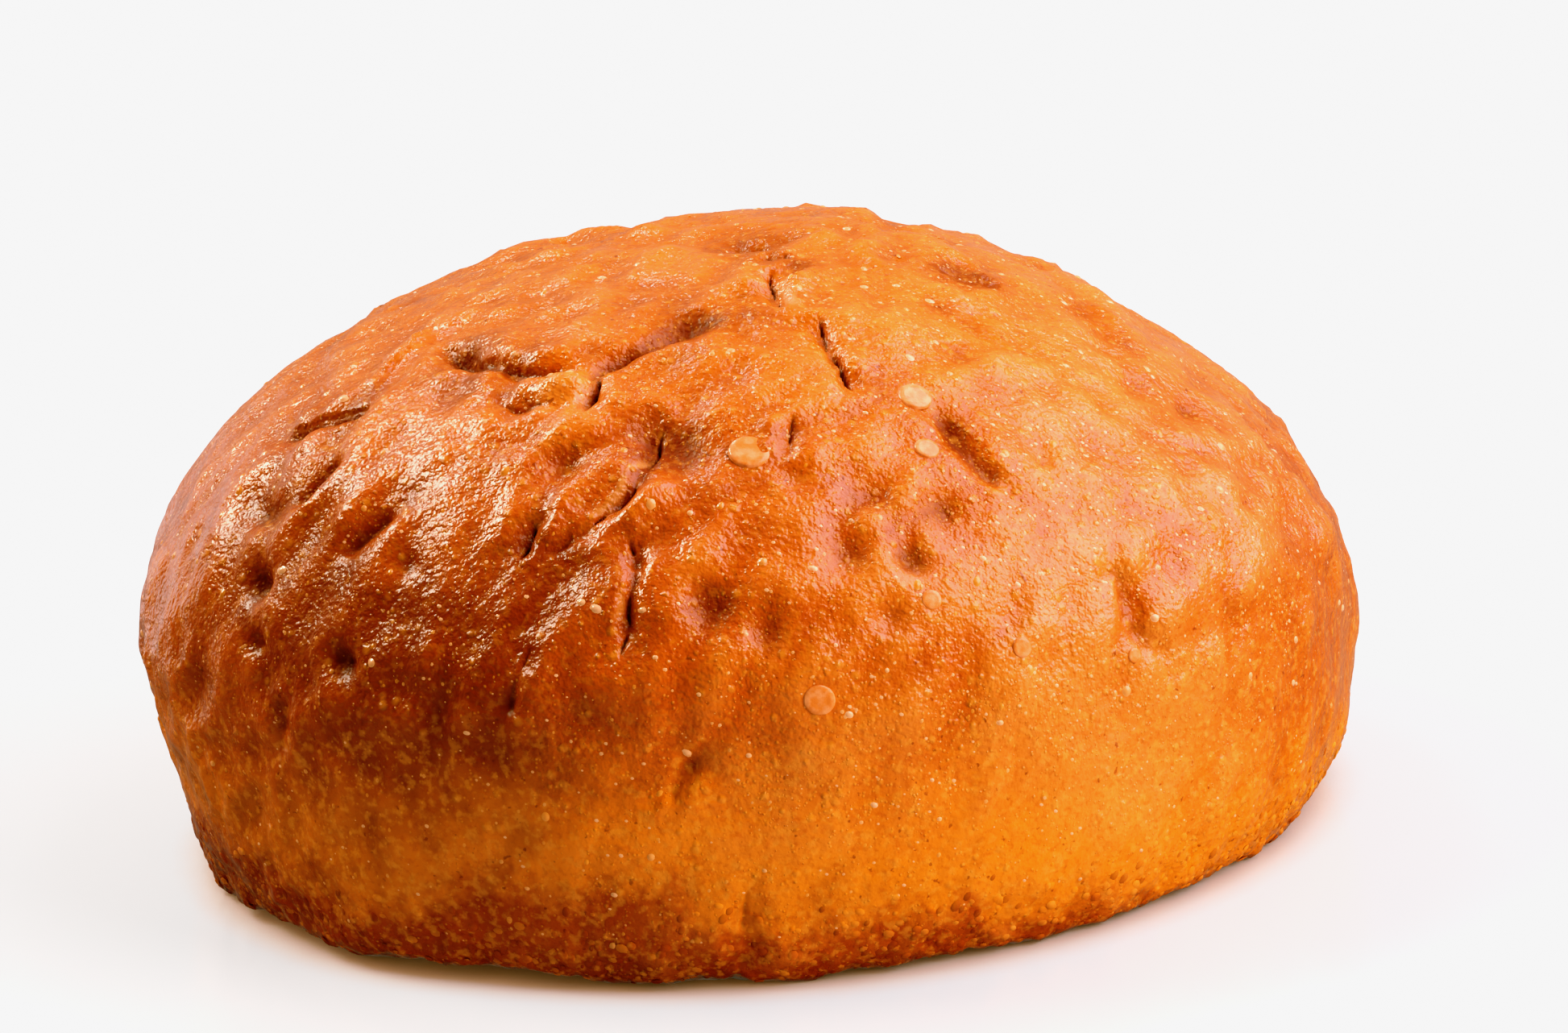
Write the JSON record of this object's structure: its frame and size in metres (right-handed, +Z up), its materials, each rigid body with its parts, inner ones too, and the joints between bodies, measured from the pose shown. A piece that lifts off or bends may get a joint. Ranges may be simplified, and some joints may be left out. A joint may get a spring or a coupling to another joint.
{
  "type": "potato bun",
  "caption": "Round soft bread bun with a creased, blistered golden-brown domed crust, a paler side wall and a flat underside.",
  "frame": {"origin": "middle of the flat underside, which is the bottom centre of the bun's box", "axes": "+Z up through the crown, -Y towards the front that the picture shows, +X to its right"},
  "size_m": [0.1028, 0.0978, 0.051],
  "materials": {
    "crust": "glossy baked crust"
  },
  "bodies": {
    "root": {"bun": "crust"}
  },
  "joints": []
}
